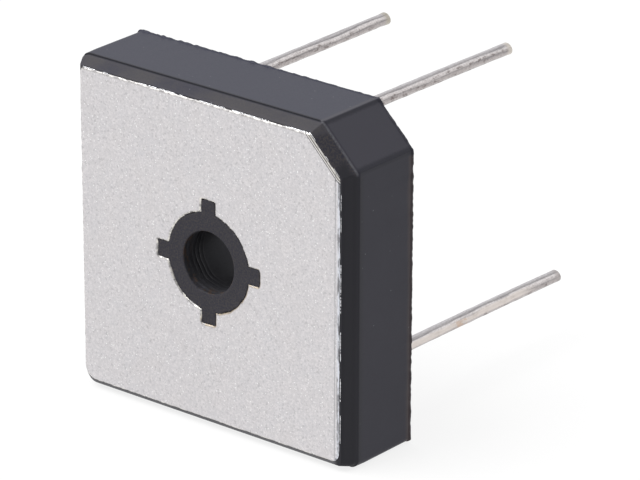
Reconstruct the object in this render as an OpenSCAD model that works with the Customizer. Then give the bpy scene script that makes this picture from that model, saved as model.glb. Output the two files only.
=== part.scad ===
// Single-phase bridge rectifier in a square moulded package with a metal base plate.
// The package stands on its lower side wall: X to the right, Y from the plate towards the leads, Z up.
// The origin is the centre of the mounting hole in the front face of the moulded hub.

/* [Moulded body] */
// Side of the square body, across its flats
body_side = 28.6; // [27.8:0.1:32]
// Overall thickness, from the outer face of the plate to the lead side
body_t = 8.2; // [7.4:0.1:11]
// Radius of the three plain corners
corner_r = 0.5; // [0.5:0.1:1.5]
// Leg of the bevelled corner that marks the positive lead
key_leg = 3.5; // [2.5:0.1:4]
// Depth of the bevel that runs round the plate
bevel_d = 1.25; // [0.8:0.05:1.6]
// How far that bevel draws in towards the plate
bevel_in = 0.5; // [0.3:0.05:0.7]
// Radius of the bevel's corners where they meet the plate
bevel_r = 0.3; // [0.2:0.1:0.6]
// Ledge that the mould's parting line leaves where the bevel starts
ledge = 0.12; // [0.05:0.01:0.2]

/* [Mould flash on the lead side] */
// Greatest width of the flash
flash_w = 0.24; // [0.1:0.02:0.4]
// Thickness of the flash
flash_t = 0.22; // [0.1:0.02:0.4]
// Corner radius of the rim that carries the flash
flash_r = 0.3; // [0.2:0.1:0.4]
// Length of the longest wave along the flash's edge
flash_wave = 2.4; // [1.6:0.1:4]
// Number of straight pieces in that wave
wave_parts = 5; // [4:1:8]

/* [Base plate] */
// Thickness of the metal plate
plate_t = 1.5; // [1:0.1:2]
// How far the plate stands out of the moulding
plate_proud = 0.1; // [0.05:0.05:0.2]
// Width of the moulded rim round the plate's edge
plate_rim = 0.07; // [0.05:0.01:0.2]
// Radius of the plate's corners
plate_r = 0.8; // [0.4:0.1:1.2]

/* [Mounting hole and keyed hub] */
// Diameter of the mounting hole
hole_d = 5.3; // [5:0.1:5.7]
// Diameter of the moulded ring in the plate's cut-out
hub_d = 8.4; // [7.6:0.1:9]
// Width of each of the four keys on the ring
hub_key_w = 1.4; // [1:0.1:2]
// Reach of the keys, measured across the hole's centre
hub_key_span = 10.6; // [9.6:0.1:12]
// Number of keys
hub_keys = 4; // [3:1:6]

/* [Wire leads] */
// Diameter of the tinned wire
lead_d = 1.05; // [0.9:0.05:1.2]
// Spacing of the corner leads, both ways
lead_pitch = 18.6; // [17.6:0.1:18.6]
// Spacing of the positive lead from the AC lead beside it
positive_pitch = 11.9; // [11:0.1:11.9]
// Length of the negative and AC leads outside the body
lead_out = 26; // [20:0.1:35]
// How much longer the positive lead is cut
positive_extra = 1.5; // [0:0.1:5]
// Diameter of the nail head that is soldered down
head_d = 2.4; // [2:0.1:2.8]
// Thickness of the nail head
head_t = 0.5; // [0.3:0.1:0.8]
// Slope that the cutter leaves on the tips, in degrees
snip_a = 10; // [0:1:20]
// Thickness of the solder coat that the wire gets outside the body
coat_t = 0.02; // [0.01:0.005:0.05]

/* [Copper pieces] */
// Compound between the plate and the copper frames
frame_gap = 0.6; // [0.4:0.1:1]
// Thickness of the copper sheet
copper_t = 0.8; // [0.5:0.1:1]
// Distance from the hole's centre to the inner edge of the frames
frame_in = 5.4; // [5.2:0.1:6]
// Width of the frames' arms
frame_w = 6; // [5.2:0.1:6.2]
// Leg of the frames' bevelled outer corner
frame_key = 1.6; // [1:0.1:2.4]
// Width of the clips' arms
clip_w = 4.2; // [3:0.1:4.6]
// Diameter of the clips' round pads under the AC leads
clip_pad_d = 4.2; // [3.8:0.1:4.6]
// Copper left beyond the edge of a chip
copper_edge = 0.3; // [0.1:0.1:0.6]

/* [Chips and solder] */
// Side of a diode chip
chip_side = 3.8; // [2.8:0.1:4]
// Thickness of a diode chip
chip_t = 0.3; // [0.2:0.05:0.5]
// Distance of a chip from the centre line, along its arm
chip_off = 2.4; // [2.3:0.1:2.6]
// Thickness of the solder layers
solder_t = 0.08; // [0.05:0.01:0.15]
// Width of the solder fillet round a nail head
fillet_w = 0.4; // [0.2:0.05:0.6]
// Width of that fillet where it ends on the head's rim
fillet_top = 0.1; // [0.05:0.05:0.15]
// Height of that fillet above the underside of the head
fillet_h = 0.3; // [0.2:0.05:0.3]

/* [Hidden] */
$fn = 64;
half = body_side / 2;
y_rear = body_t - plate_proud;                       // lead side of the body
y_inner = plate_t - plate_proud;                     // inner face of the plate
front_draw = ledge + bevel_in;                       // bevel and ledge together
mid = half - front_draw - bevel_r;                   // centre of a bevelled corner's radius
key_flat = (body_side - key_leg) / sqrt(2);          // the bevelled corner's flat, from the centre
plate_draw = front_draw + plate_rim;
plate_side = body_side - 2 * plate_draw;
plate_key_flat = key_flat - plate_draw;
y_frame = y_inner + frame_gap;
y_frame_top = y_frame + copper_t;
y_chip = y_frame_top + solder_t;
y_clip = y_chip + chip_t + solder_t;
y_clip_top = y_clip + copper_t;
frame_out = frame_in + frame_w;
arm_mid = frame_in + frame_w / 2;                    // line of the chips along an arm
frame_end = chip_off + chip_side / 2 + copper_edge;  // free ends of the frames
clip_end = chip_off - chip_side / 2 - copper_edge;   // free ends of the clips
lead_at = lead_pitch / 2;
positive_x = positive_pitch - lead_at;
positive_out = lead_out + positive_extra;
// Share of the flash's width on the right, top, left and lower side
flash_share = [0.6, 1, 0.8, 0.35];
// The waves that add up to the flash's edge: length and height as shares, shift from side to side in degrees
flash_waves = [[1, 0.24, 77], [0.6, 0.16, 131], [0.4, 0.1, 29]];
// Chips 1 and 2 lie on the positive frame, chips 3 and 4 on the negative one
chip_at = [[-chip_off, arm_mid], [arm_mid, -chip_off], [-arm_mid, chip_off], [chip_off, -arm_mid]];
over = 1;                                            // how far cutters run past a face

// ---- placing helpers -------------------------------------------------------------------------

// A flat shape drawn in X and Z, made t thick from y onwards
module slab(y, t) {
    translate([0, y + t, 0]) rotate([90, 0, 0]) linear_extrude(t) children();
}

// Turns a piece drawn along Z so that it points along Y, from y onwards
module along_y(x, y, z) {
    translate([x, y, z]) rotate([-90, 0, 0]) children();
}

// ---- outlines --------------------------------------------------------------------------------

// Square with four round corners
module rounded_square(side, r) {
    square([side, side - 2 * r], center = true);
    square([side - 2 * r, side], center = true);
    for (x = [-1, 1], z = [-1, 1]) translate([x, z] * (side / 2 - r)) circle(r);
}

// Rounded square whose upper right corner is cut off by a flat at the distance flat
module keyed_square(side, r, flat) {
    difference() {
        rounded_square(side, r);
        rotate(45) translate([flat, -side / 2]) square(side);
    }
}

// The ring and its keys, as they fill the plate's cut-out
module hub_outline() {
    circle(d = hub_d);
    for (i = [0 : hub_keys - 1])
        rotate(i * 360 / hub_keys) translate([0, -hub_key_w / 2]) square([hub_key_span / 2, hub_key_w]);
}

// ---- moulded body ----------------------------------------------------------------------------

// Width of the flash at the distance s along side number k
function flash(s, k) = let (up = [for (w = flash_waves) w[1] * sin(360 * s / (w[0] * flash_wave) + w[2] * k)])
    flash_w * flash_share[k] * (up * [1, 1, 1] + 0.5);

// Wavy strip along side number k, which runs from one end of the side's straight part to the other
module flash_strip(k) {
    from = k == 1 ? -(half - key_leg) : -(half - flash_r);
    to = k == 0 ? half - key_leg : half - flash_r;
    n = ceil((to - from) * wave_parts / flash_wave);
    at = [for (i = [0 : n]) from + (to - from) * i / n];
    rotate(90 * k) polygon(concat(
        [[half - flash_r, from]],
        [for (s = at) [half + flash(s, k), s]],
        [[half - flash_r, to]]));
}

// The rim on the lead side: a sharper outline than the body's, with the flash on its four sides
module flash_rim() {
    slab(y_rear - flash_t, flash_t) {
        keyed_square(body_side, flash_r, key_flat);
        for (k = [0 : 3]) flash_strip(k);
    }
}

// The bevel round the plate: two crossing wedges and a cone at each corner
module bevel_block() {
    wide = half - ledge;
    narrow = wide - bevel_in;
    for (turn = [0, 90]) rotate([0, turn, 0])
        translate([0, 0, -mid]) linear_extrude(2 * mid)
            polygon([[-narrow, 0], [narrow, 0], [wide, bevel_d], [-wide, bevel_d]]);
    for (x = [-mid, mid], z = [-mid, mid])
        along_y(x, 0, z) cylinder(h = bevel_d, r1 = bevel_r, r2 = bevel_r + bevel_in);
}

// What the bevelled corner takes off, with the ledge and the bevel carried round it
module key_corner_cut() {
    far = key_flat + half;
    rotate([0, -45, 0]) translate([0, 0, -half]) linear_extrude(2 * half)
        polygon([[key_flat - front_draw, -over], [key_flat - front_draw, 0], [key_flat - ledge, bevel_d],
            [key_flat, bevel_d], [key_flat, y_rear + over], [far, y_rear + over], [far, -over]]);
}

module body() {
    color([0.2, 0.2, 0.22]) difference() {
        union() {
            bevel_block();
            slab(bevel_d, y_rear - bevel_d) rounded_square(body_side, corner_r);
            flash_rim();
        }
        key_corner_cut();
        along_y(0, -over, 0) cylinder(h = y_rear + 2 * over, d = hole_d);
        base_plate();
        positive_frame();
        negative_frame();
        for (i = [0, 1]) ac_clip(i);
        for (i = [0 : 3]) {
            chip(i);
            solder_frame(i);
            solder_clip(i);
        }
        lead_positive();
        lead_negative();
        lead_ac_1();
        lead_ac_2();
        solder_lead_positive();
        solder_lead_negative();
        solder_lead_ac_1();
        solder_lead_ac_2();
    }
}

// ---- base plate ------------------------------------------------------------------------------

module base_plate() {
    color([0.8, 0.8, 0.79]) slab(-plate_proud, plate_t) difference() {
        keyed_square(plate_side, plate_r, plate_key_flat);
        hub_outline();
    }
}

// ---- copper frames and clips -----------------------------------------------------------------

// L-shaped frame whose corner lies at the upper right
module frame_outline() {
    difference() {
        union() {
            translate([-frame_end, frame_in]) square([frame_end + frame_out, frame_w]);
            translate([frame_in, -frame_end]) square([frame_w, frame_end + frame_out]);
        }
        translate([frame_out, frame_out]) rotate(45)
            translate([-frame_key / sqrt(2), -frame_w]) square(2 * frame_w);
    }
}

module positive_frame() {
    color([0.72, 0.45, 0.2]) slab(y_frame, copper_t) frame_outline();
}

module negative_frame() {
    color([0.72, 0.45, 0.2]) slab(y_frame, copper_t) rotate(180) frame_outline();
}

// L-shaped clip for the upper left corner, with a round pad for the lead
module clip_outline() {
    reach = lead_at - clip_end;
    translate([-lead_at, arm_mid - clip_w / 2]) square([reach, clip_w]);
    translate([-arm_mid - clip_w / 2, clip_end]) square([clip_w, reach]);
    translate([-lead_at, lead_at]) circle(d = clip_pad_d);
}

module ac_clip(i) {
    color([0.75, 0.48, 0.24]) slab(y_clip, copper_t) rotate(180 * i) clip_outline();
}

// ---- chips and their solder ------------------------------------------------------------------

// Square layer under or over chip number i
module chip_layer(i, y, t) {
    slab(y, t) translate(chip_at[i]) square(chip_side, center = true);
}

module chip(i) {
    color([0.3, 0.3, 0.34]) chip_layer(i, y_chip, chip_t);
}

module solder_frame(i) {
    color([0.75, 0.75, 0.76]) chip_layer(i, y_frame_top, solder_t);
}

module solder_clip(i) {
    color([0.75, 0.75, 0.76]) chip_layer(i, y_chip + chip_t, solder_t);
}

// ---- wire leads and their solder -------------------------------------------------------------

// Wire lead with a nail head on the copper face at y, standing out of the body by out.
// The wire is bare inside the body and coated outside it.
module lead(x, z, y, out) {
    color([0.78, 0.77, 0.75]) {
        along_y(x, y + solder_t, z) {
            cylinder(h = head_t, d = head_d);
            cylinder(h = y_rear - y - solder_t, d = lead_d - 2 * coat_t);
        }
        along_y(x, y_rear, z) difference() {
            cylinder(h = out + lead_d, d = lead_d);
            translate([0, 0, out]) rotate([snip_a, 0, 0])
                translate([-lead_d, -lead_d, 0]) cube([2 * lead_d, 2 * lead_d, 3 * lead_d]);
        }
    }
}

// Solder under a nail head and round its edge, on the copper face at y
module lead_solder(x, z, y) {
    color([0.75, 0.75, 0.76]) along_y(x, y, z) difference() {
        cylinder(h = solder_t + fillet_h, r1 = head_d / 2 + fillet_w, r2 = head_d / 2 + fillet_top);
        translate([0, 0, solder_t]) cylinder(h = fillet_h + over, d = head_d);
    }
}

module lead_positive() { lead(positive_x, lead_at, y_frame_top, positive_out); }
module lead_negative() { lead(-lead_at, -lead_at, y_frame_top, lead_out); }
module lead_ac_1() { lead(-lead_at, lead_at, y_clip_top, lead_out); }
module lead_ac_2() { lead(lead_at, -lead_at, y_clip_top, lead_out); }

module solder_lead_positive() { lead_solder(positive_x, lead_at, y_frame_top); }
module solder_lead_negative() { lead_solder(-lead_at, -lead_at, y_frame_top); }
module solder_lead_ac_1() { lead_solder(-lead_at, lead_at, y_clip_top); }
module solder_lead_ac_2() { lead_solder(lead_at, -lead_at, y_clip_top); }

// ---- nodes -----------------------------------------------------------------------------------

body();
base_plate();
lead_positive();
lead_negative();
lead_ac_1();
lead_ac_2();
positive_frame();
negative_frame();
ac_clip(0);  // ac_clip_1
ac_clip(1);  // ac_clip_2
chip(0);  // chip_1
chip(1);  // chip_2
chip(2);  // chip_3
chip(3);  // chip_4
solder_frame(0);  // solder_frame_1
solder_frame(1);  // solder_frame_2
solder_frame(2);  // solder_frame_3
solder_frame(3);  // solder_frame_4
solder_clip(0);  // solder_clip_1
solder_clip(1);  // solder_clip_2
solder_clip(2);  // solder_clip_3
solder_clip(3);  // solder_clip_4
solder_lead_positive();
solder_lead_negative();
solder_lead_ac_1();
solder_lead_ac_2();
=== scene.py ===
import math

import bmesh
import bpy
import numpy as np
from mathutils import Matrix, Vector, noise


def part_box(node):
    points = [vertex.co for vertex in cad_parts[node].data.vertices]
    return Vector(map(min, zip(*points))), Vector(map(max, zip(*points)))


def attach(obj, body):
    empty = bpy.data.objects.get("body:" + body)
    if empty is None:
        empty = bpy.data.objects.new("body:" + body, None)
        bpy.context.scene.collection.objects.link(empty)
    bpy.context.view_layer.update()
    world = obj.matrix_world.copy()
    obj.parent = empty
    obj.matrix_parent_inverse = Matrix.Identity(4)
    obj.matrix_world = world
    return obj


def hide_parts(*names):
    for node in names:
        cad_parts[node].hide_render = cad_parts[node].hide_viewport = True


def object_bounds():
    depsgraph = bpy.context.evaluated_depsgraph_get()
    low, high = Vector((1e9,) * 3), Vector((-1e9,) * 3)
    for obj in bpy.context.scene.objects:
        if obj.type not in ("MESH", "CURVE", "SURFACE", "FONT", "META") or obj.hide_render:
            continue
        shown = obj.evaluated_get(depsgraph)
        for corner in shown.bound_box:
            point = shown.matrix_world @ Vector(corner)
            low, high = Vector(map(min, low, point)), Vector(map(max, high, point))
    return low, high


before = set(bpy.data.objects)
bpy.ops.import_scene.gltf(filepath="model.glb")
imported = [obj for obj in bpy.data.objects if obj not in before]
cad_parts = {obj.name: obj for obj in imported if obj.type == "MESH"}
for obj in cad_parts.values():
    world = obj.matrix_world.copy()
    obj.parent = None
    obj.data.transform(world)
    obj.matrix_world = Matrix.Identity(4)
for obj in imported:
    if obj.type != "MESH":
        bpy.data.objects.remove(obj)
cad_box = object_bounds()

MM = 0.001


# ---- Copper frames and clips ------------------------------------------------------------------
# Two L-shaped frames and two L-shaped clips carry the current between the chips and the leads.
# They are stamped from soft copper sheet and held by nothing but solder and the compound round them.

class Output:
    """What a node gives out. Python's arithmetic signs on it add the maths nodes."""

    def __init__(self, tree, socket):
        self.tree = tree
        self.socket = socket

    def __add__(self, other):
        return self.tree.maths("ADD", self, other)

    def __sub__(self, other):
        return self.tree.maths("SUBTRACT", self, other)

    def __rsub__(self, other):
        return self.tree.maths("SUBTRACT", other, self)

    def __mul__(self, other):
        return self.tree.maths("MULTIPLY", self, other)

    def __truediv__(self, other):
        return self.tree.maths("DIVIDE", self, other)

    def __rtruediv__(self, other):
        return self.tree.maths("DIVIDE", other, self)

    def __abs__(self):
        return self.tree.maths("ABSOLUTE", self)

    __radd__ = __add__
    __rmul__ = __mul__


class Tree:
    """A node tree, of a material or of Geometry Nodes, to which any node can be added."""

    def __init__(self, node_tree):
        self.node_tree = node_tree

    def node(self, kind, settings=None, sockets=None, out=0):
        """Adds a node, makes its settings, then fills its sockets with values or links."""
        made = self.node_tree.nodes.new(kind)
        for name, value in (settings or {}).items():
            if name == "stops":
                while len(made.color_ramp.elements) < len(value):
                    made.color_ramp.elements.new(1.0)
                for stop, (place, colour) in zip(made.color_ramp.elements, value):
                    stop.position = place
                    stop.color = (*colour, 1.0)
            else:
                setattr(made, name, value)
        for name, value in (sockets or {}).items():
            if isinstance(value, Output):
                self.node_tree.links.new(value.socket, made.inputs[name])
            elif value is not None:
                made.inputs[name].default_value = value
        return Output(self, made.outputs[out]) if len(made.outputs) else made

    def beside(self, output, name):
        """Another output of the node that gave this one."""
        return Output(self, output.socket.node.outputs[name])

    def maths(self, operation, *values):
        """Puts the values through one maths node."""
        return self.node("ShaderNodeMath", {"operation": operation}, dict(enumerate(values)))

    def split(self, vector):
        """The three parts of a vector."""
        x = self.node("ShaderNodeSeparateXYZ", {}, {0: vector})
        return x, self.beside(x, "Y"), self.beside(x, "Z")

    def blend(self, share, a, b, how="MIX"):
        """Mixes two colours, each a value or a link."""
        a, b = ((*c, 1.0) if isinstance(c, tuple) else c for c in (a, b))
        settings = {"data_type": "RGBA", "blend_type": how}
        return self.node("ShaderNodeMix", settings, {0: share, 6: a, 7: b}, out=2)

    def place(self, stretch=(1.0, 1.0, 1.0), move=(0.0, 0.0, 0.0)):
        """The piece's own coordinates in millimetres, stretched and moved for a pattern."""
        own = self.node("ShaderNodeTexCoord", out=3)
        scale = tuple(s / MM for s in stretch)
        return self.node("ShaderNodeMapping", {}, {"Vector": own, "Scale": scale, "Location": move})

    def grain(self, size, detail=2.0, rough=0.5, seed=0.0, stretch=(1.0, 1.0, 1.0)):
        """Noise from 0 to 1 with lumps of about the given size in millimetres."""
        place = self.place(stretch, move=(seed, seed * 1.7, -seed))
        return self.node("ShaderNodeTexNoise", {}, {
            "Vector": place, "Scale": 0.5 / size, "Detail": detail, "Roughness": rough})

    def cells(self, per_mm, out=0):
        """Distance to the nearest of many strewn points, or with out=1 that point's own random colour."""
        return self.node("ShaderNodeTexVoronoi", {"feature": "F1"}, {
            "Vector": self.place(), "Scale": per_mm}, out)

    def step(self, value, low, high, to_low=0.0, to_high=1.0):
        """Runs smoothly from to_low to to_high while the value goes from low to high."""
        return self.node("ShaderNodeMapRange", {"interpolation_type": "SMOOTHSTEP"}, {
            0: value, 1: low, 2: high, 3: to_low, 4: to_high})

    def near(self, value, place, full, gone):
        """1 where the value is within full of a place, and 0 where it is further off than gone."""
        return 1.0 - self.step(abs(value - place), full, gone)

    def bump(self, strength, distance, height):
        """Bumps of the given height in metres, for a shader's Normal."""
        return self.node("ShaderNodeBump", {}, {
            "Strength": strength, "Distance": distance, "Height": height})


def new_material(name, make, **fixed):
    """A material whose Principled shader gets the fixed values and what make(tree) returns."""
    material = bpy.data.materials.new(name)
    material.use_nodes = True
    tree = Tree(material.node_tree)
    shader = material.node_tree.nodes["Principled BSDF"]
    for socket, value in fixed.items():
        shader.inputs[socket.replace("_", " ")].default_value = value
    for socket, value in make(tree).items():
        material.node_tree.links.new(value.socket, shader.inputs[socket])
    return material


def finish_node(name, material):
    """Gives a CAD node its finish."""
    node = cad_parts[name]
    node.data.materials.clear()
    node.data.materials.append(material)
    for face in node.data.polygons:
        face.material_index = 0


def copper_look(tree):
    rolled = tree.grain(0.35, detail=4.0, stretch=(0.08, 1.0, 1.0))
    stain = tree.grain(1.6, detail=3.0, seed=11.0)
    bright = tree.blend(rolled, (0.62, 0.33, 0.20), (0.80, 0.48, 0.33))
    colour = tree.blend(tree.step(stain, 0.48, 0.68), bright, (0.33, 0.15, 0.09))
    return {"Base Color": colour, "Roughness": tree.step(stain, 0.4, 0.7, 0.28, 0.5),
            "Normal": tree.bump(0.3, 0.01 * MM, rolled)}


copper = new_material("rolled_copper", copper_look, Metallic=1.0)
for node in ("positive_frame", "negative_frame", "ac_clip_1", "ac_clip_2"):
    finish_node(node, copper)


# ---- Diode chips ------------------------------------------------------------------------------
# Four squares sawn from a silicon wafer, metallised on both faces so that solder takes to them.
# Each lets current through one way only. It lies between a frame and a clip, held by its solder.

def silicon_look(tree):
    lapped = tree.grain(0.06)
    film = tree.grain(1.2, detail=1.0, seed=5.0)
    colour = tree.blend(film, (0.10, 0.11, 0.14), (0.21, 0.20, 0.23))
    return {"Base Color": colour, "Roughness": tree.step(lapped, 0.3, 0.7, 0.22, 0.42),
            "Normal": tree.bump(0.25, 0.004 * MM, lapped)}


silicon = new_material("silicon", silicon_look, Metallic=0.8)
for number in range(1, 5):
    finish_node(f"chip_{number}", silicon)


# ---- Solder -----------------------------------------------------------------------------------
# A thin layer under and over each chip, and a fillet round the head of each lead.
# High-lead solder that was melted in the oven and froze into dull grey crystals.

def solder_look(tree):
    crystal = tree.cells(5.0)
    dull = tree.grain(0.3, detail=3.0)
    colour = tree.blend(dull, (0.38, 0.38, 0.40), (0.58, 0.58, 0.59))
    return {"Base Color": colour, "Roughness": tree.step(dull, 0.3, 0.7, 0.3, 0.5),
            "Normal": tree.bump(0.4, 0.02 * MM, crystal)}


solder = new_material("solder", solder_look, Metallic=1.0)
for number in range(1, 5):
    finish_node(f"solder_frame_{number}", solder)
    finish_node(f"solder_clip_{number}", solder)
for lead in ("positive", "negative", "ac_1", "ac_2"):
    finish_node(f"solder_lead_{lead}", solder)


# ---- Wire leads -------------------------------------------------------------------------------
# Four lengths of copper wire, each with a cold-headed nail head that is soldered down inside.
# Outside the body they are dipped in tin, which runs lengthwise and thickens towards the cut tip.

head_t = 0.5 * MM
head_soft = 0.05 * MM       # softness of the head's two rims
bare_r = 0.505 * MM
coat = 0.02 * MM
wire_r = bare_r + coat
shoulder = 0.001 * MM       # length over which the section steps from one radius to the next
kink_length = 6 * MM
flare_length = 0.9 * MM
snip_angle = math.radians(10)
snip_soft = 0.07 * MM
rows_outside = 60           # sections along the part of the wire that is seen
touch = 1e-7                # points closer than this, in metres, lie on each other
body_lo, body_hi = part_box("body")


def tin_look(tree):
    around_x, around_z, to_tip = tree.split(
        tree.node("ShaderNodeAttribute", {"attribute_name": "around"}, out=1))
    x, _, z = tree.split(tree.place())
    run = tree.grain(0.125, detail=4.0, rough=0.7, stretch=(1.0, 0.04, 1.0))
    drift = tree.grain(4.0, seed=2.0)
    angle = tree.maths("ARCTAN2", around_z, around_x) + (drift - 0.5) * 1.1 + (run - 0.5) * 0.9

    # Painted reflections: light and dark bands that run along the wire, set by the angle round its axis, with
    # two thin dark painted reflection lines.
    colour = tree.node("ShaderNodeValToRGB", {"stops": [
        (0.00, (0.40, 0.39, 0.38)), (0.16, (0.58, 0.56, 0.54)), (0.26, (0.50, 0.48, 0.46)),
        (0.34, (0.44, 0.42, 0.41)), (0.41, (0.52, 0.51, 0.49)), (0.47, (0.76, 0.74, 0.72)),
        (0.55, (0.82, 0.81, 0.79)), (0.62, (0.46, 0.46, 0.46)), (0.68, (0.46, 0.46, 0.46)),
        (0.78, (0.62, 0.62, 0.63)), (1.00, (0.42, 0.42, 0.42))]},
        {0: (angle + 1.1) / 3.4})
    colour = tree.blend(tree.step(run, 0.56, 0.66, 0.0, 0.55), colour, (0.34, 0.33, 0.33))
    # The two thin dark lines are painted reflections, at set angles round the wire.
    for line in (0.18, 1.04):
        colour = tree.blend(tree.near(angle, line, 0.03, 0.09) * 0.6, colour, (0.20, 0.20, 0.21))

    # Dark specks, scuffs where the wire was gripped, and a lighter band painted low on the two lower leads as
    # a reflection.
    speck = tree.grain(0.06, detail=3.0, rough=0.7, seed=13.0, stretch=(1.0, 0.6, 1.0))
    colour = tree.blend(tree.step(speck, 0.40, 0.62) * 0.35, colour, (0.24, 0.22, 0.21))
    scuff = tree.grain(0.16, detail=4.0, rough=0.7, seed=23.0, stretch=(1.0, 0.5, 1.0))
    patch = tree.grain(1.8, detail=1.0, seed=41.0, stretch=(1.0, 0.5, 1.0))
    scraped = tree.step(scuff, 0.54, 0.62) * tree.step(patch, 0.36, 0.50) * (1.0 - tree.step(angle, 0.4, 0.8))
    colour = tree.blend(scraped * 0.7, colour, (0.20, 0.17, 0.16))
    lower = tree.step(z, 2.0, -2.0)
    under = 1.0 - tree.step(angle, 0.5, 0.8)
    # A painted reflection: a lighter band low on the side of the two lower leads.
    painted_low_reflection = lower * tree.step(to_tip, -3.0, -6.0) * under * tree.step(angle, -0.5, -0.1)
    colour = tree.blend(painted_low_reflection * 0.8, colour, (0.78, 0.74, 0.68))

    # A small brown stain on the lower AC lead, the drier tin of the tips, and a faint warm cast.
    stain = tree.step(abs(to_tip + 13.8) + (scuff - 0.5) * 4.0, 0.8, 0.1) * tree.step(x, 6.0, 7.0)
    colour = tree.blend(stain * lower * under * 0.6, colour, (0.52, 0.36, 0.24))
    snipped = tree.blend(tree.step(x, -6.0, 0.0), (0.48, 0.46, 0.37), (0.68, 0.65, 0.57))
    snipped = tree.blend(tree.step(x, 4.0, 7.0), snipped, (0.42, 0.40, 0.385))
    colour = tree.blend(tree.step(to_tip, -0.9, -0.3) * 0.7, colour, snipped)
    colour = tree.blend(1.0, colour, (1.0, 0.965, 0.985), "MULTIPLY")
    pits = tree.grain(0.12, seed=3.0, stretch=(1.0, 0.5, 1.0))
    return {"Base Color": colour, "Roughness": tree.step(scuff, 0.4, 0.7, 0.30, 0.5),
            "Normal": tree.bump(0.5, 0.03 * MM, run * 0.7 + pits * 0.3)}


def cut_look(tree):
    smear = tree.grain(0.12, detail=3.0, stretch=(1.0, 1.0, 0.35))
    colour = tree.blend(smear, (0.50, 0.44, 0.31), (0.72, 0.68, 0.56))
    return {"Base Color": colour, "Roughness": tree.step(smear, 0.3, 0.7, 0.4, 0.6),
            "Normal": tree.bump(0.5, 0.02 * MM, smear)}


tin = new_material("tinned_wire", tin_look, Metallic=1.0)
cut_wire = new_material("cut_wire", cut_look, Metallic=0.7)


def geometry_tree(name, sizes):
    """A Geometry Nodes tree with a named input for each size, and its Group Input's outputs by name."""
    group = bpy.data.node_groups.new(name, "GeometryNodeTree")
    group.interface.new_socket("Geometry", in_out="INPUT", socket_type="NodeSocketGeometry")
    for size, value in sizes.items():
        kind = "NodeSocketInt" if isinstance(value, int) else "NodeSocketFloat"
        group.interface.new_socket(size, in_out="INPUT", socket_type=kind)
    group.interface.new_socket("Geometry", in_out="OUTPUT", socket_type="NodeSocketGeometry")
    tree = Tree(group)
    given = group.nodes.new("NodeGroupInput")
    return tree, {socket.name: Output(tree, socket) for socket in given.outputs if socket.name}


def close_tree(tree, shape, material):
    """Ends a tree in real geometry with its material on it."""
    real = tree.node("GeometryNodeRealizeInstances", {}, {"Geometry": shape})
    painted = tree.node("GeometryNodeSetMaterial", {}, {"Geometry": real, "Material": material})
    tree.node("NodeGroupOutput", {}, {0: painted})
    return tree.node_tree


def grow(name, start, group, sizes):
    """Runs a Geometry Nodes tree on a mesh and returns the finished plain mesh."""
    worker = bpy.data.objects.new(name + "_start", start)
    bpy.context.scene.collection.objects.link(worker)
    modifier = worker.modifiers.new("grow", "NODES")
    modifier.node_group = group
    for item in group.interface.items_tree:
        if item.in_out == "INPUT" and item.name in sizes:
            modifier[item.identifier] = sizes[item.name]
    evaluated = worker.evaluated_get(bpy.context.evaluated_depsgraph_get())
    mesh = bpy.data.meshes.new_from_object(evaluated)
    mesh.name = name
    bpy.data.objects.remove(worker)
    return mesh


def wire_tree(sizes):
    """Sweeps a round section along a line whose points hold their own radius."""
    tree, given = geometry_tree("drawn_wire", sizes)
    line = tree.node("GeometryNodeMeshToCurve", {}, {"Mesh": given["Geometry"]})
    position = tree.node("GeometryNodeInputPosition")
    lumps = tree.node("ShaderNodeTexNoise", {}, {
        "Vector": position, "Scale": 1.0 / given["Wobble length"], "Detail": 1.0})
    radius = tree.node("GeometryNodeInputRadius") + (lumps - 0.5) * given["Wobble"]
    line = tree.node("GeometryNodeSetCurveRadius", {}, {"Curve": line, "Radius": radius})
    section = tree.node("GeometryNodeCurvePrimitiveCircle", {}, {"Resolution": given["Sides"], "Radius": 1.0})
    swept = tree.node("GeometryNodeCurveToMesh", {}, {
        "Curve": line, "Profile Curve": section, "Scale": radius, "Fill Caps": True})
    return close_tree(tree, swept, tin)


wire_sizes = {"Sides": 28, "Wobble": 0.03 * MM, "Wobble length": 1.4 * MM}
wire_group = wire_tree(wire_sizes)


def spine(points):
    """A line of points down the Y axis, each with the radius that the wire has there."""
    mesh = bpy.data.meshes.new("spine")
    mesh.from_pydata([(0.0, y, 0.0) for y, _ in points], [(i, i + 1) for i in range(len(points) - 1)], [])
    radii = mesh.attributes.new("radius", "FLOAT", "POINT")
    radii.data.foreach_set("value", [r for _, r in points])
    return mesh


def add_piece(name, mesh, replaced=(), sharp=35):
    """Puts a finished mesh in the scene as a piece, smooth up to the sharp angle in degrees."""
    mesh.shade_smooth()
    mesh.set_sharp_from_angle(angle=math.radians(sharp))
    piece = bpy.data.objects.new(name, mesh)
    bpy.context.scene.collection.objects.link(piece)
    if replaced:
        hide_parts(*replaced)
    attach(piece, "root")


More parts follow.
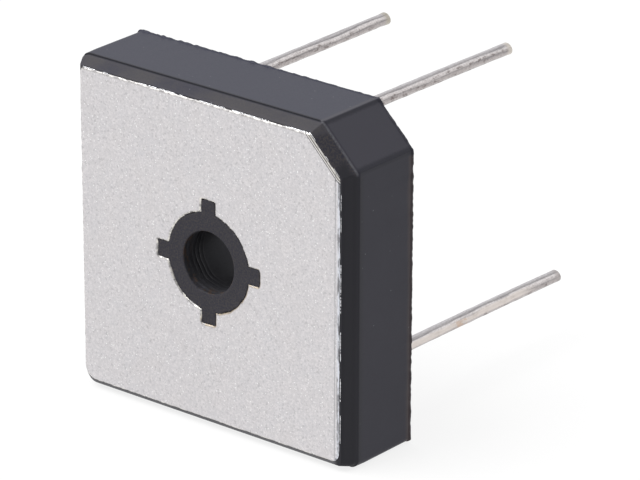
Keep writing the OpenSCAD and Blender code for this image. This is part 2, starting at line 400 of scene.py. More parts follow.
def wire_lead(name, turn, kink, sag, flare):
    """One lead on its own axis: head, bare shank inside the body, tinned wire, flared and snipped tip.
    It rises by the kink just outside the body, and sags by the time it reaches the tip."""
    lo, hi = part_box(name)
    head_r = (hi.x - lo.x) / 2
    tip = hi.y - wire_r * math.tan(snip_angle)
    neck = lo.y + head_t
    points = [(lo.y, head_r - head_soft), (lo.y + head_soft, head_r), (neck - head_soft, head_r),
              (neck, head_r - head_soft), (neck + shoulder, bare_r),
              (body_hi.y - shoulder, bare_r), (body_hi.y, wire_r)]
    spare = 3 * wire_r      # drawn past the tip, for the cutter to take off
    for i in range(1, rows_outside + 1):
        y = body_hi.y + (tip + spare - body_hi.y) * i / rows_outside
        spread = min(1.0, max(0.0, (y - tip + flare_length) / flare_length))
        points.append((y, wire_r + flare * spread ** 2))
    mesh = grow(name, spine(points), wire_group, wire_sizes)

    shape = bmesh.new()
    shape.from_mesh(mesh)
    bmesh.ops.rotate(shape, verts=shape.verts, cent=(0, 0, 0), matrix=Matrix.Rotation(turn, 3, "Y"))
    slope = Vector((0.0, math.cos(snip_angle), math.sin(snip_angle)))
    low = tip - flare * math.tan(snip_angle)
    cut = bmesh.ops.bisect_plane(
        shape, geom=shape.verts[:] + shape.edges[:] + shape.faces[:], dist=touch,
        plane_co=(0, low, 0), plane_no=slope, clear_outer=True)
    rim = [e for e in cut["geom_cut"] if isinstance(e, bmesh.types.BMEdge)]
    for face in bmesh.ops.contextual_create(shape, geom=rim)["faces"]:
        face.material_index = 1
    bmesh.ops.bevel(shape, geom=rim, offset=snip_soft, segments=3, profile=0.5, affect="EDGES", material=0)
    bmesh.ops.recalc_face_normals(shape, faces=shape.faces)
    around = [(v.co.x / wire_r, v.co.z / wire_r, (v.co.y - tip) / MM) for v in shape.verts]
    for vert in shape.verts:
        reach = max(0.0, vert.co.y - body_hi.y)
        rise = min(1.0, reach / kink_length)
        vert.co.z += kink * rise * rise * (3 - 2 * rise) - sag * (reach / (tip - body_hi.y)) ** 2
    bmesh.ops.translate(shape, verts=shape.verts, vec=((lo.x + hi.x) / 2, 0, (lo.z + hi.z) / 2))
    shape.to_mesh(mesh)
    shape.free()
    mesh.attributes.new("around", "FLOAT_VECTOR", "POINT").data.foreach_set("vector", np.ravel(around))
    mesh.materials.clear()
    mesh.materials.append(tin)
    mesh.materials.append(cut_wire)
    add_piece(name + "_wire", mesh, [name])


wire_lead("lead_positive", 0.0, kink=-0.10 * MM, sag=0.24 * MM, flare=0.04 * MM)
wire_lead("lead_negative", 1.9, kink=0.05 * MM, sag=0.10 * MM, flare=0.03 * MM)
wire_lead("lead_ac_1", 3.8, kink=0.02 * MM, sag=-0.04 * MM, flare=0.05 * MM)
wire_lead("lead_ac_2", 5.7, kink=0.16 * MM, sag=0.29 * MM, flare=0.0)


# ---- Base plate -------------------------------------------------------------------------------
# A square of sheet metal with one bevelled corner and a keyed cut-out, which takes the heat away.
# It is punched, which rolls its edges over and leaves a burr, then blasted to a fine even grain.

plate_lo, plate_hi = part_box("base_plate")
plate_half = plate_hi.x
front_draw = 0.62 * MM      # how far the moulding's front edge stands inside its side walls
left_draw = 0.17 * MM       # how much more it stands in on the left
left_lean = 0.3             # by what share this grows towards the bottom
plate_rim = 0.07 * MM       # moulded rim round the plate
body_half = plate_half + plate_rim + front_draw
key_leg = 3.5 * MM          # leg of the bevelled corner
key_flat = (2 * body_half - key_leg) / math.sqrt(2)
facet = 0.12 * MM           # length of one facet along an edge
corner_step = 9             # degrees from one point of a round corner to the next
flat_length = 4.6 * MM      # nominal lengths of the edges, which set their numbers of facets
cut_length = 23.6 * MM
side_length = 27.2 * MM
edge_lengths = (flat_length, cut_length, side_length, side_length, cut_length)
hub_r = 4.2 * MM
hub_key_w = 1.4 * MM
hub_key_reach = 5.3 * MM
hub_key_soft = 0.12 * MM    # radius of the keys' corners


def keyed_square(draw, corner_r, flat_r):
    """Outline of the package, drawn in from its side walls: three round corners and one flat one.
    corner_r holds the radii of the upper left, lower left and lower right corner, or one for all.
    Gives (x, z) points and the outward direction at each. All outlines match point by point."""
    x = body_half - draw - flat_r
    z = math.sqrt(2) * (key_flat - draw - flat_r) - x
    radii = np.broadcast_to(corner_r, 3)
    away = body_half - draw - radii
    corners = [(x, z, flat_r, 0, 45), (z, x, flat_r, 45, 90), (-away[0], away[0], radii[0], 90, 180),
               (-away[1], -away[1], radii[1], 180, 270), (away[2], -away[2], radii[2], 270, 360)]
    points = []
    normals = []
    for i, (cx, cz, r, start, end) in enumerate(corners):
        turns = (end - start) // corner_step
        for k in range(turns + 1):
            a = math.radians(start + (end - start) * k / turns)
            points.append((cx + r * math.cos(a), cz + r * math.sin(a)))
            normals.append((math.cos(a), math.sin(a)))
        next_x, next_z, next_r = corners[(i + 1) % len(corners)][:3]
        first = np.array(points[-1])
        way = np.array((next_x + next_r * math.cos(a), next_z + next_r * math.sin(a))) - first
        parts = round(edge_lengths[i] / facet)
        points.extend(tuple(first + way * k / parts) for k in range(1, parts))
        normals.extend([normals[-1]] * (parts - 1))
    points = np.array(points)
    leftward, downward = np.clip(-points.T / body_half, -1.0, 1.0)
    inward = min(draw / front_draw, 1.0) * np.clip(leftward, 0.0, 1.0) * (1.0 + left_lean * downward)
    points[:, 0] += left_draw * inward
    return points, np.array(normals)


def keyed_ring(offset):
    """The hub's ring with its four keys, grown outwards by one offset."""
    r, w, reach = hub_r + offset, hub_key_w / 2 + offset, hub_key_reach - hub_key_soft
    root = math.sqrt(r * r - w * w)
    lean = math.asin(w / r)
    side = math.ceil((hub_key_reach - hub_r) / facet)
    end = math.ceil(hub_key_w / facet)
    arc = math.ceil(math.pi / 2 * hub_r / facet)
    soft = hub_key_soft + offset
    turn = [math.radians(90 * k / 4) for k in range(5)]
    first = [(root + (reach - root) * k / side, -w) for k in range(side)]
    lower = [(reach + soft * math.sin(a), -w + soft * (1 - math.cos(a))) for a in turn]
    across = [(reach + soft, (2 * k / end - 1) * (hub_key_w / 2 - hub_key_soft)) for k in range(1, end)]
    upper = [(x, -z) for x, z in reversed(lower)]
    back = [(x, -z) for x, z in reversed(first)]
    bow = [lean + (math.pi / 2 - 2 * lean) * k / arc for k in range(1, arc)]
    bow = [(r * math.cos(a), r * math.sin(a)) for a in bow]
    quarter = np.array(first + lower + across + upper + back + bow)
    turned = []
    for k in range(4):
        c, s = math.cos(k * math.pi / 2), math.sin(k * math.pi / 2)
        turned.append(quarter @ np.array(((c, s), (-s, c))))
    return np.concatenate(turned)


def waver(outline, size, seed):
    """A number from about -1 to 1 for each point of an outline, which wavers over the given length."""
    return np.array([noise.noise(Vector((x / size, seed, z / size))) for x, z in outline]) * 1.6


def ring(shape, outline, y):
    """Adds one ring of vertices: (x, z) points at the depth y, which may differ from point to point."""
    depth = np.broadcast_to(y, len(outline))
    return [shape.verts.new((x, d, z)) for (x, z), d in zip(outline, depth)]


def skin(shape, rings):
    """Joins each ring of vertices to the next one with four-sided faces."""
    for a, b in zip(rings, rings[1:]):
        for i in range(len(a)):
            j = (i + 1) % len(a)
            shape.faces.new((a[i], a[j], b[j], b[i]))


def cap(shape, y):
    """Closes the flat area between all open edges at the depth y."""
    rims = [e for e in shape.edges if e.is_boundary and all(abs(v.co.y - y) < touch for v in e.verts)]
    bmesh.ops.triangle_fill(shape, use_beauty=True, use_dissolve=False, edges=rims)


burr = 0.02 * MM            # how far the burr stands above the face
face_y = plate_lo.y + burr
arris = 0.05 * MM           # softness of the plate's inner edges
hub_roll = 0.25 * MM        # radius of the rolled edge round the cut-out
uneven = 0.010              # by what share of its radius that edge wavers
roll_step = 15              # degrees from one ring of a rolled edge to the next
plate_r = np.array((0.5, 1.2, 0.9)) * MM
plate_flat_r = 0.35 * MM
plate_edge, plate_out = keyed_square(front_draw + plate_rim, plate_r, plate_flat_r)
upper = np.clip(plate_out[:, 1], 0.0, 1.0)
right = np.clip(plate_out[:, 0], 0.0, 1.0)
roll = (0.16 + 0.14 * upper + 0.27 * right ** 2) * MM       # radius of the rolled outer edge
rough = waver(plate_edge, 0.35 * MM, 1.0) * 0.5 + waver(plate_edge, 0.9 * MM, 2.0) * 0.6
rough_d = 0.05 * MM
crest = np.clip(waver(plate_edge, 0.6 * MM, 3.0) + 0.25, 0.0, 1.0)
plate = bmesh.new()


def plate_ring(offset, y):
    """A ring of the plate's outer edge, moved outwards by the offset."""
    return ring(plate, plate_edge + plate_out * np.reshape(offset, (-1, 1)), y)


plate_rings = [plate_ring(-roll - 2.5 * arris, face_y), plate_ring(-roll - arris, face_y)]
for turn in range(7):
    a = math.radians(roll_step * turn)
    offset = -roll * (1 - math.sin(a)) + rough_d * math.sin(2 * a) ** 2 * rough
    depth = face_y + roll * (1 - math.cos(a)) - burr * math.sin(a + 0.5) ** 8 * crest
    plate_rings.append(plate_ring(np.minimum(offset, 0.0), depth))
plate_rings.append(plate_ring(0.0, plate_hi.y - arris))
plate_rings.append(plate_ring(-arris, plate_hi.y))
plate_rings.append(plate_ring(-2.5 * arris, plate_hi.y))
skin(plate, plate_rings)

hub_rings = []
for turn in range(-2, 7):
    a = math.radians(roll_step * max(turn, 0))
    outline = keyed_ring(hub_roll * (1 - math.sin(a)) + max(-turn, 0) * arris)
    waved = 1.0 + uneven * math.cos(a) * waver(outline, 0.5 * MM, 5.0) * (turn > -2)
    hub_rings.append(ring(plate, outline * waved[:, None], face_y + hub_roll * (1 - math.cos(a))))
hub_rings.append(ring(plate, keyed_ring(0.0), plate_hi.y - arris))
hub_rings.append(ring(plate, keyed_ring(arris), plate_hi.y))
skin(plate, hub_rings)
cap(plate, face_y)
cap(plate, plate_hi.y)
bmesh.ops.recalc_face_normals(plate, faces=plate.faces)
plate_mesh = bpy.data.meshes.new("base_plate_blasted")
plate.to_mesh(plate_mesh)
plate.free()
rolled_from = 0.03 * MM     # depth from which the metal counts as rolled
rolled = plate_mesh.attributes.new("rolled", "FLOAT", "POINT")
rolled.data.foreach_set("value", [
    min(1.0, max(0.0, (v.co.y - face_y) / rolled_from)) for v in plate_mesh.vertices])


def from_axis(tree):
    """Distance from the mounting hole's axis in millimetres."""
    return tree.node("ShaderNodeVectorMath", {"operation": "LENGTH"}, {
        0: tree.place(stretch=(1.0, 0.0, 1.0))}, out=1)


def toward_flat(tree):
    """Distance from the mounting hole's axis towards the bevelled corner in millimetres."""
    x, _, z = tree.split(tree.place())
    return (x + z) * math.sqrt(0.5)


def plate_look(tree):
    x, _, z = tree.split(tree.place())
    fine = tree.grain(0.09, detail=4.0, rough=0.75)
    pit = tree.grain(0.12, detail=3.0, rough=0.7, seed=31.0)
    cloud = tree.grain(1.2, detail=4.0, rough=0.6, seed=7.0)

    # The blasted face: warm and cool clouds, light and dark grains, and a few painted white glints.
    tone = tree.blend(cloud, (0.668, 0.638, 0.638), (0.643, 0.638, 0.663))
    tone = tree.blend(tree.step(fine, 0.42, 0.66), tone, (0.80, 0.775, 0.785))
    tone = tree.blend(tree.step(pit, 0.55, 0.66) * 0.5, tone, (0.44, 0.43, 0.44))
    chance = tree.node("ShaderNodeSeparateColor", {}, {0: tree.cells(7.0, out=1)})
    # Painted highlights: a few of the grains are painted white as glints.
    painted_glint = (1.0 - tree.step(tree.cells(7.0), 0.2, 0.45)) * tree.step(chance, 0.90, 0.95)
    tone = tree.blend(painted_glint, tone, (1.0, 1.0, 1.0))

    # The rolled edge: scraped metal, lighter over most of its height than along the top, with streaks down
    # the right side and a brown crust with painted tan shade by the hub.
    rolled = tree.node("ShaderNodeAttribute", {"attribute_name": "rolled"}, out=2)
    scrape = tree.grain(0.3, detail=4.0, rough=0.7, seed=17.0)
    bright = tree.blend(tree.step(z, 7.0, 8.0), (0.90, 0.87, 0.82), (0.64, 0.62, 0.60))
    bright = tree.blend(tree.step(scrape, 0.42, 0.58), (0.34, 0.33, 0.33), bright)
    by_hub = tree.step(from_axis(tree), 6.2, 5.8)
    # Brown crust and painted tan shade on the hub's rolled edge, on its lower right side.
    crust_and_tan_shade = by_hub * tree.step(x - z, 3.6, 4.6) * tree.step(scrape, 0.42, 0.52)
    bright = tree.blend(crust_and_tan_shade * 0.8, bright, (0.38, 0.30, 0.21))
    right = tree.step(x, plate_half / MM - 0.7, plate_half / MM - 0.5)
    streak = tree.grain(0.09, detail=3.0, rough=0.7, seed=29.0, stretch=(1.0, 1.0, 0.12))
    drawn = tree.blend(tree.step(streak, 0.42, 0.54), (0.26, 0.26, 0.28), (0.84, 0.86, 0.92))
    tone = tree.blend(rolled, tone, tree.blend(right, bright, drawn))

    # A light cream band and two thin dark lines along the bevelled corner, and a faint dark line down the
    # right side.
    inward = (key_flat - front_draw - plate_rim) / MM - toward_flat(tree)
    tone = tree.blend(1.0 - tree.step(inward, 0.30, 0.36), tone, (0.86, 0.83, 0.79))
    for line in (0.24, 0.40):
        tone = tree.blend(tree.near(inward, line, 0.015, 0.05) * 0.85, tone, (0.06, 0.06, 0.06))
    faint = tree.near(x - (cloud - 0.5) * 0.1, plate_half / MM - 0.52, 0.03, 0.07)
    tone = tree.blend(faint * 0.5, tone, (0.28, 0.28, 0.30))
    return {"Base Color": tone, "Roughness": tree.step(fine, 0.3, 0.7, 0.42, 0.56),
            "Normal": tree.bump(0.6, 0.02 * MM, fine * 0.6 + pit * 0.4)}


blasted = new_material("blasted_plate", plate_look, Metallic=1.0)
plate_mesh.materials.append(blasted)
add_piece("base_plate_blasted", plate_mesh, ["base_plate"])


# ---- Burr slivers -----------------------------------------------------------------------------
# Thin bright slivers of the plate's own metal, torn up along its edge by the worn punch.
# They lie on the rolled edge along the top, the bevelled corner and the right, and hang on by their roots.

def burr_look(tree):
    drawn = tree.grain(0.08, detail=3.0, stretch=(1.0, 1.0, 0.2))
    colour = tree.blend(drawn, (0.80, 0.82, 0.88), (1.0, 1.0, 1.0))
    return {"Base Color": colour, "Roughness": tree.step(drawn, 0.3, 0.7, 0.25, 0.4),
            "Normal": tree.bump(0.3, 0.01 * MM, drawn)}


bright_burr = new_material("bright_burr", burr_look, Metallic=1.0)


def sliver_tree(sizes):
    """Strews slivers along a line: every so often one, in clusters, each of its own length."""
    tree, given = geometry_tree("slivers", sizes)
    line = tree.node("GeometryNodeMeshToCurve", {}, {"Mesh": given["Geometry"]})
    dots = tree.node("GeometryNodeCurveToPoints", {"mode": "LENGTH"}, {
        "Curve": line, "Length": given["Spacing"]})
    cluster = tree.node("ShaderNodeTexNoise", {}, {
        "Vector": tree.node("GeometryNodeInputPosition"), "Scale": 1.0 / given["Cluster"], "Detail": 1.0})
    chosen = tree.node("FunctionNodeCompare", {"data_type": "FLOAT", "operation": "GREATER_THAN"}, {
        0: cluster, 1: given["Bareness"]})
    scale = tree.node("FunctionNodeRandomValue", {"data_type": "FLOAT_VECTOR"}, {
        0: (0.4, 0.4, 0.2), 1: (1.0, 1.0, 1.0), 8: given["Seed"]})
    grain = tree.node("GeometryNodeMeshIcoSphere", {}, {"Radius": given["Thickness"], "Subdivisions": 2})
    long = tree.node("ShaderNodeCombineXYZ", {}, {0: 1.0, 1: 1.0, 2: given["Slenderness"]})
    grain = tree.node("GeometryNodeTransform", {}, {"Geometry": grain, "Scale": long})
    strewn = tree.node("GeometryNodeInstanceOnPoints", {}, {
        "Points": dots, "Selection": chosen, "Instance": grain,
        "Rotation": tree.beside(dots, "Rotation"), "Scale": scale})
    return close_tree(tree, strewn, bright_burr)


sliver_sizes = {"Spacing": 0.30 * MM, "Cluster": 1.6 * MM, "Bareness": 0.52, "Thickness": 0.045 * MM,
                "Slenderness": 7.0, "Seed": 5}
torn_in = 0.03 * MM         # how far inside the plate's outline they root
torn_y = face_y + 0.12 * MM
torn = [i for i, out in enumerate(plate_out) if min(out) > -0.1]
torn_points = plate_edge[torn] - plate_out[torn] * torn_in
torn_line = bpy.data.meshes.new("torn_edge")
torn_line.from_pydata(
    [(x, torn_y, z) for x, z in torn_points],
    [(k, k + 1) for k in range(len(torn) - 1) if torn[k + 1] == torn[k] + 1], [])
slivers = grow("plate_burr_slivers", torn_line, sliver_tree(sliver_sizes), sliver_sizes)
add_piece("plate_burr_slivers", slivers)


# ---- Moulded body -----------------------------------------------------------------------------
# Black epoxy compound, moulded in one shot round the plate, the copper, the chips and the leads.
# The tool leaves a ledge where the front bevel starts, and a wavy flash round the lead side.

bevel_d = 1.25 * MM
ledge = 0.12 * MM
flash_t = 0.22 * MM
hole_r = 2.65 * MM
front_y = body_lo.y
rim_y = front_y + 0.03 * MM             # the rim shrank a little below the tool's face
rear_y = body_hi.y
edge = 0.05 * MM                        # softness of the moulded edges
gap = 0.004 * MM                        # between the compound and the plate
body_flat_r = 0.15 * MM                 # radius where the bevelled corner's wall meets its neighbours
front_r = np.array((0.12, 1.25, 0.25)) * MM
ledge_r = np.array((0.7, 0.6, 0.6)) * MM
wall_r = np.array((0.6, 0.5, 0.5)) * MM
flash_r = 0.3 * MM
body = bmesh.new()


def body_ring(y, draw, corner_r, out=0.0):
    """A ring of the moulding's outer skin, which the flash grows outwards."""
    points, normals = keyed_square(draw, corner_r, body_flat_r)
    return ring(body, points + normals * np.reshape(out, (-1, 1)), y)


wall, wall_out = keyed_square(0.0, 0.5 * MM, body_flat_r)
right, above = np.clip(wall_out.T, 0.0, 1.0)
left, below = np.clip(-wall_out.T, 0.0, 1.0)
sag = 0.16 * MM * below ** 3            # the plate sits a little high in the moulding
worn = 0.10 * MM * left ** 2            # the ledge fades out on the left side
sunk = 0.09 * MM * left ** 2            # and the rim lies deeper there,
tucked = 0.03 * MM * left ** 2          # and a little further in


def bevel_ring(y):
    """A ring of the front bevel, whose corners turn from the ledge's radii to the rim's."""
    share = (y - front_y) / bevel_d
    draw = front_draw - (front_draw - ledge) * share
    corner_r = front_r + (ledge_r - front_r) * share ** 6
    return body_ring(y + sunk * (1 - share), draw, corner_r, sag * (1 - share) + worn * share)


flash_w = sum(facing ** 2 * (reach - body_half) for facing, reach in (
    (right, body_hi.x), (above, body_hi.z), (left, -body_lo.x), (below, -body_lo.z)))


def lumps(seed):
    """How far the flash stands out at each point: small lumps of uneven height and length."""
    wave = waver(wall, 0.8 * MM, seed) * 0.5 + waver(wall, 0.35 * MM, seed + 1.0) * 0.35
    less = (0.30 * above + 0.65 * below) * np.clip(0.7 + wall[:, 0] / body_half, 0.0, 1.0)
    return np.clip(wave + 0.4, 0.0, 1.0) * flash_w * (0.65 + 0.35 * right - less)


flash_out = lumps(20.0)
flash_in = 0.7 * flash_out + 0.3 * lumps(30.0)
flash_y = rear_y - flash_t + 0.06 * MM * waver(wall, 0.7 * MM, 40.0)
slope = np.arccos(np.clip(1 - (rim_y + sunk - face_y) / roll, 0.0, 1.0))
against_plate = gap - roll * (1 - np.sin(slope))
skin(body, [
    # Up the plate's edge, over the rolled part, to the thin rim.
    ring(body, plate_edge + plate_out * gap, plate_hi.y),
    ring(body, plate_edge + plate_out * gap, face_y + roll),
    ring(body, plate_edge + plate_out * against_plate[:, None], rim_y + sunk),
    body_ring(rim_y + sunk, front_draw + 0.4 * edge, front_r, sag - tucked),
    # The bevel and the ledge, which is softer on the right.
    bevel_ring(rim_y + 0.4 * edge),
    bevel_ring(0.35 * MM),
    bevel_ring(0.80 * MM),
    bevel_ring(bevel_d - 5 * edge),
    body_ring(bevel_d - 2 * edge * right, ledge, ledge_r, worn),
    body_ring(bevel_d + 3 * edge * right, 0.8 * edge, ledge_r),
    body_ring(bevel_d + (0.2 + 3 * right) * edge, 0.2 * edge, ledge_r),
    body_ring(bevel_d + (1 + 4 * right) * edge, 0.0, ledge_r),
    body_ring(bevel_d + (3 + 5 * right) * edge, 0.0, ledge_r),
    # The side walls, and the flash round the lead side.
    body_ring(bevel_d + 1.2 * MM, 0.0, wall_r),
    body_ring(rear_y - flash_t - 3 * edge, 0.0, wall_r),
    body_ring(flash_y, 0.0, 0.45 * MM, 0.05 * flash_in),
    body_ring(flash_y + 0.4 * edge, 0.0, 0.4 * MM, 0.8 * flash_in),
    body_ring(flash_y + 1.6 * edge, 0.0, flash_r, flash_out),
    body_ring(rear_y - edge, 0.0, flash_r, 0.95 * flash_out),
    body_ring(rear_y - 0.2 * edge, 0.2 * edge, flash_r, 0.75 * flash_out),
    body_ring(rear_y, edge, flash_r, 0.6 * flash_out),
    body_ring(rear_y, 4 * edge, flash_r),
])


def hub_ring(y, offset, ragged=0.0):
    """A ring of the keyed hub. Where it is ragged, thin flash creeps out over the plate's rolled edge."""
    outline = keyed_ring(offset)
    jag = waver(outline, 0.45 * MM, 80.0) * 0.6 + waver(outline, 0.2 * MM, 81.0) * 0.4
    return ring(body, outline * (1 + ragged * jag[:, None]), y - 3 * ragged * MM * np.clip(jag, 0.0, 1.0))


skin(body, [
    hub_ring(plate_hi.y, -gap),
    hub_ring(front_y + 3 * edge, -gap),
    hub_ring(front_y + 0.6 * edge, 0.3 * edge, 0.02),
    hub_ring(front_y, -0.5 * edge, 0.02),
    hub_ring(front_y, -3 * edge),
])

# The bore, with the thread-like rings that the turned pin printed on its left and lower wall.
bore_sides = 128
bore_rows = 130
ridge_pitch = 0.46 * MM
ridge_h = 0.064 * MM
ridge_fade = 1.8 * MM                   # the rings thin out about this deep
chip_h = 0.16 * MM                      # how far the broken edge at the bottom of the mouth stands back
angles = np.arange(bore_sides) * 2 * math.pi / bore_sides
circle = np.stack([np.cos(angles), np.sin(angles)], axis=1)
bore = [(front_y, 5 * edge), (front_y, 2 * edge), (front_y + 0.3 * edge, 0.6 * edge)]
bore += [(front_y + edge + (rear_y - front_y - 2 * edge) * k / bore_rows, 0.0) for k in range(bore_rows + 1)]
bore += [(rear_y - 0.3 * edge, 0.6 * edge), (rear_y, 2 * edge), (rear_y, 5 * edge)]
ridged = np.clip(0.6 + 0.95 * np.cos(angles - math.radians(228)), 0.0, 1.0)
chipped = np.clip(1.5 - np.abs(angles - math.radians(240)) / 0.3, 0.0, 1.0) * np.clip(
    waver(circle * hole_r, 0.4 * MM, 70.0) + 0.4, 0.0, 1.0)
bore_rings = []
for y, wider in bore:
    lap = waver(circle * hole_r, 1.3 * MM, 50.0 + y / (2.0 * MM))
    wave = np.clip(np.sin(y / ridge_pitch * 2 * math.pi + 1.5 * lap + 0.5), 0.0, 1.0) ** 3
    ridge = ridge_h * wave * ridged * np.clip(1.5 - y / ridge_fade, 0.0, 1.0)
    fade = np.clip(min(y, rear_y - y) / (0.4 * MM), 0.0, 1.0)
    chip = chip_h * chipped * np.clip(1 - y / (0.6 * MM), 0.0, 1.0)
    radius = hole_r + wider + (0.008 * MM * lap - ridge) * fade + chip
    bore_rings.append(ring(body, circle * radius[:, None], y))
skin(body, bore_rings)

# The hollows that the copper, the chips, the solder and the leads fill. They are kept from the solid:
# once its rear face is off, they hang together with nothing outside them, and the outside is deleted.
on_face = 0.001 * MM
cast = bmesh.new()
cast.from_mesh(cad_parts["body"].data)
bmesh.ops.remove_doubles(cast, verts=cast.verts, dist=0.0005 * MM)
bmesh.ops.delete(cast, context="FACES_ONLY", geom=[
    face for face in cast.faces if all(abs(v.co.y - rear_y) < on_face for v in face.verts)])
todo = [min(cast.verts, key=lambda vert: vert.co.y)]
outside = set(todo)
while todo:
    beside = {link.other_vert(vert) for vert in [todo.pop()] for link in vert.link_edges if link.link_faces}
    todo.extend(beside - outside)
    outside |= beside
bmesh.ops.delete(cast, context="VERTS", geom=list(outside) + [v for v in cast.verts if not v.link_faces])
for vert in cast.verts:
    if abs(vert.co.y - rear_y) < on_face:
        vert.co.y = rear_y
hollows = bpy.data.meshes.new("hollows")
cast.to_mesh(hollows)
cast.free()
body.from_mesh(hollows)

cap(body, plate_hi.y)
cap(body, front_y)
cap(body, rear_y)
bmesh.ops.recalc_face_normals(body, faces=body.faces)
body_mesh = bpy.data.meshes.new("moulded_body")
body.to_mesh(body_mesh)
body.free()


def compound_look(tree):
    x, depth, z = tree.split(tree.place())
    fine = tree.grain(0.08, detail=3.0, rough=0.65)
    mottle = tree.grain(1.8, detail=3.0, seed=3.0)
    lit_bevel_mottle = tree.grain(2.5, detail=3.0, rough=0.7, seed=61.0)
    front = 1.0 - tree.step(depth, 1.1, 1.3)
    upper = tree.step(z, body_half / MM - 0.06, body_half / MM - 0.02)
    flat = tree.step(toward_flat(tree), key_flat / MM - 0.35, key_flat / MM - 0.15)

    # Blue-black walls, a painted bluish sheen on the upper one, and a bevel that is rubbed grey and painted
    # lighter along the top, where it faces the light.
    tone = tree.blend(mottle, (0.0222, 0.0217, 0.0298), (0.0298, 0.0287, 0.0386))
    # Painted sheen: the upper wall is given a bluer tone for the bluish light it reflects.
    tone = tree.blend(upper, tone, (0.0275, 0.0285, 0.0450))
    tone = tree.blend(front * tree.step(fine, 0.4, 0.65) * 0.8, tone, (0.056, 0.050, 0.046))
    # Painted light: the bevel along the top is given a lighter, mottled tone.
    painted_lit_bevel = tree.blend(tree.step(lit_bevel_mottle, 0.35, 0.65), (0.042, 0.042, 0.057), (0.069, 0.065, 0.067))
    tone = tree.blend(front * tree.step(z, 13.3, 13.6) * 0.6, tone, painted_lit_bevel)

    # Brown flash down the right side, and specks of dust.
    flash = tree.step(depth + mottle * 0.5, 7.5, 8.0) * tree.step(x + mottle * 0.6, 13.9, 14.4)
    tone = tree.blend(flash * 0.9, tone, (0.056, 0.043, 0.042))
    tone = tree.blend(1.0 - tree.step(tree.cells(0.9), 0.03, 0.06), tone, (0.12, 0.12, 0.13))

    # The bevelled corner's wall: painted lighter for the light it faces, with a lighter line along its ledge,
    # and painted shade along its edges.
    # Painted light: the bevelled corner's wall is given a lighter tone than the other walls.
    tone = tree.blend(flat * tree.step(depth, 1.2, 1.3), tone, (0.0428, 0.0414, 0.0524))
    lighter_ledge_line = flat * tree.step(depth, 1.10, 1.22) * (1.0 - tree.step(depth, 1.26, 1.38))
    tone = tree.blend(lighter_ledge_line * tree.step(fine, 0.3, 0.6, 0.4, 1.0), tone, (0.10, 0.10, 0.11))
    rim = tree.step(z, -13.3, -13.5) * (1.0 - tree.step(depth, 0.3, 0.5))
    tone = tree.blend(rim, tone, (0.130, 0.130, 0.135))
    # Painted shade along the edges where the bevelled corner's wall meets the side walls.
    reach = tree.maths("MAXIMUM", abs(x), abs(z)) + (fine - 0.5) * 0.2
    painted_edge_shade = flat * tree.step(depth, 1.25, 1.5) * tree.step(reach, 13.92, 14.16) * (1.0 - upper)
    tone = tree.blend(painted_edge_shade * 0.8, tone, (0.013, 0.013, 0.019))

    # Painted shade: a dark strip down the right bevel, and a dark line of painted shade in the crease along
    # the ledge elsewhere.
    right = tree.step(x, 12.8, 13.4) * (1.0 - flat)
    tone = tree.blend(right * (1.0 - tree.step(depth, 1.3, 2.2)), tone, (0.0205, 0.0200, 0.0230))
    painted_crease_shade = tree.step(depth, 1.15, 1.24) * (1.0 - tree.step(depth, 1.33, 1.48))
    tone = tree.blend(painted_crease_shade * (1.0 - flat) * (1.0 - right) * 0.9, tone, (0.008, 0.008, 0.011))

    # The bore, with brown crumbs in its mouth.
    inside = 1.0 - tree.step(from_axis(tree), 2.66, 2.72)
    tone = tree.blend(inside, tone, (0.030, 0.030, 0.034))
    crumb = tree.step(tree.grain(0.25, detail=3.0, seed=9.0), 0.5, 0.6)
    mouth = inside * (1.0 - tree.step(depth, 0.3, 1.2)) * crumb
    tone = tree.blend(mouth * 0.8, tone, (0.060, 0.038, 0.026))
    return {"Base Color": tone, "Roughness": 0.40 + front * 0.16 + fine * 0.1,
            "Normal": tree.bump(0.5, 0.012 * MM, fine * (0.35 + front * 0.65))}


compound = new_material("epoxy_compound", compound_look, IOR=1.5, Specular_IOR_Level=0.28,
                        Specular_Tint=(0.86, 0.86, 1.0, 1.0))
body_mesh.materials.append(compound)
add_piece("moulded_body", body_mesh, ["body"])


# ---- Studio -----------------------------------------------------------------------------------
# A white sweep on which the part stands on its lower side wall, a large soft lamp overhead to the
# left, and a long lens that looks down on the plate from its right.

def seen_share(tree):
    """1 for what the lens sees, or any ray that left the part's surface, and 0 otherwise.
    So the white room is mirrored in the metal and also fills the part's shadows."""
    first = tree.node("ShaderNodeLightPath")
    others = [tree.beside(first, f"Is {kind} Ray") for kind in ("Glossy", "Reflection", "Transmission")]
    return tree.maths("MINIMUM", sum(others, first), 1.0)


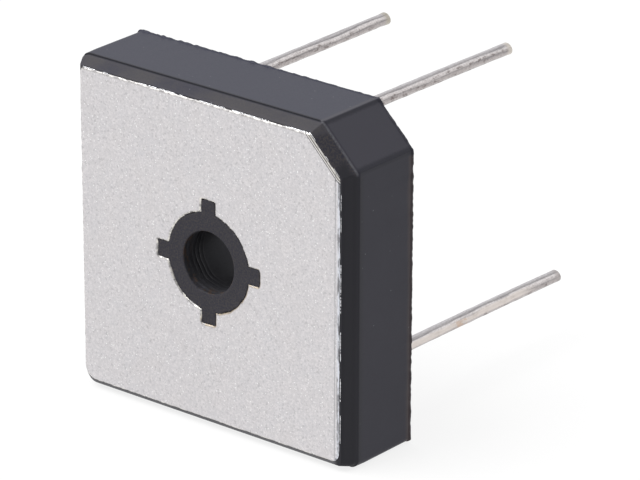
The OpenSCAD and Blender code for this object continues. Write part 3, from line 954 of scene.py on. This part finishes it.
floor_half = 1.5
floor_z = cad_box[0].z
floor_mesh = bpy.data.meshes.new("floor")
floor_mesh.from_pydata(
    [(x * floor_half, y * floor_half, floor_z) for x, y in ((-1, -1), (1, -1), (1, 1), (-1, 1))],
    [], [(0, 1, 2, 3)])
paper = bpy.data.materials.new("paper")
paper.use_nodes = True
paper_tree = Tree(paper.node_tree)
paper.node_tree.nodes.clear()
matt = paper_tree.node("ShaderNodeBsdfDiffuse", {}, {"Color": (0.18, 0.18, 0.18, 1.0)})
glow = paper_tree.node("ShaderNodeEmission", {}, {
    "Color": (1.0, 1.0, 1.0, 1.0), "Strength": seen_share(paper_tree) * 0.82})
both = paper_tree.node("ShaderNodeAddShader", {}, {0: matt, 1: glow})
paper_tree.node("ShaderNodeOutputMaterial", {}, {0: both})
floor_mesh.materials.append(paper)
floor = bpy.data.objects.new("floor", floor_mesh)
bpy.context.scene.collection.objects.link(floor)

world = bpy.data.worlds.new("studio")
bpy.context.scene.world = world
world.use_nodes = True
world_tree = Tree(world.node_tree)
toward = world_tree.node("ShaderNodeVectorMath", {"operation": "DOT_PRODUCT"}, {
    0: world_tree.node("ShaderNodeTexCoord"), 1: (0.60, -0.69, 0.40)}, out=1)
room = 1.0 - world_tree.step(toward, 0.0, 0.9) * 0.7        # darker behind the lens
lens_ray = world_tree.node("ShaderNodeLightPath")
strength = world_tree.maths("MAXIMUM", lens_ray, (0.50 + seen_share(world_tree) * 0.5) * room)
backdrop = world.node_tree.nodes["Background"]
backdrop.inputs["Color"].default_value = (1.0, 1.0, 1.0, 1.0)
world.node_tree.links.new(strength.socket, backdrop.inputs["Strength"])


def lamp(name, place, size, power):
    """A square soft lamp that looks at the part."""
    light = bpy.data.lights.new(name, "AREA")
    light.shape = "SQUARE"
    light.size = size
    light.energy = power
    holder = bpy.data.objects.new(name, light)
    holder.location = place
    holder.rotation_euler = (-Vector(place)).to_track_quat("-Z", "Y").to_euler()
    bpy.context.scene.collection.objects.link(holder)


lamp("overhead", (-0.25, -0.30, 0.62), 0.5, 4.4)

lens = bpy.data.cameras.new("lens")
lens.lens = 269.4
lens.sensor_width = 36.0
lens.clip_start = 0.01
camera = bpy.data.objects.new("camera", lens)
camera.location = (0.23093, -0.26730, 0.14490)
camera.rotation_euler = [math.radians(a) for a in (67.968, -0.151, 39.4445)]
bpy.context.scene.collection.objects.link(camera)
bpy.context.scene.camera = camera
bpy.context.scene.view_settings.view_transform = "Standard"
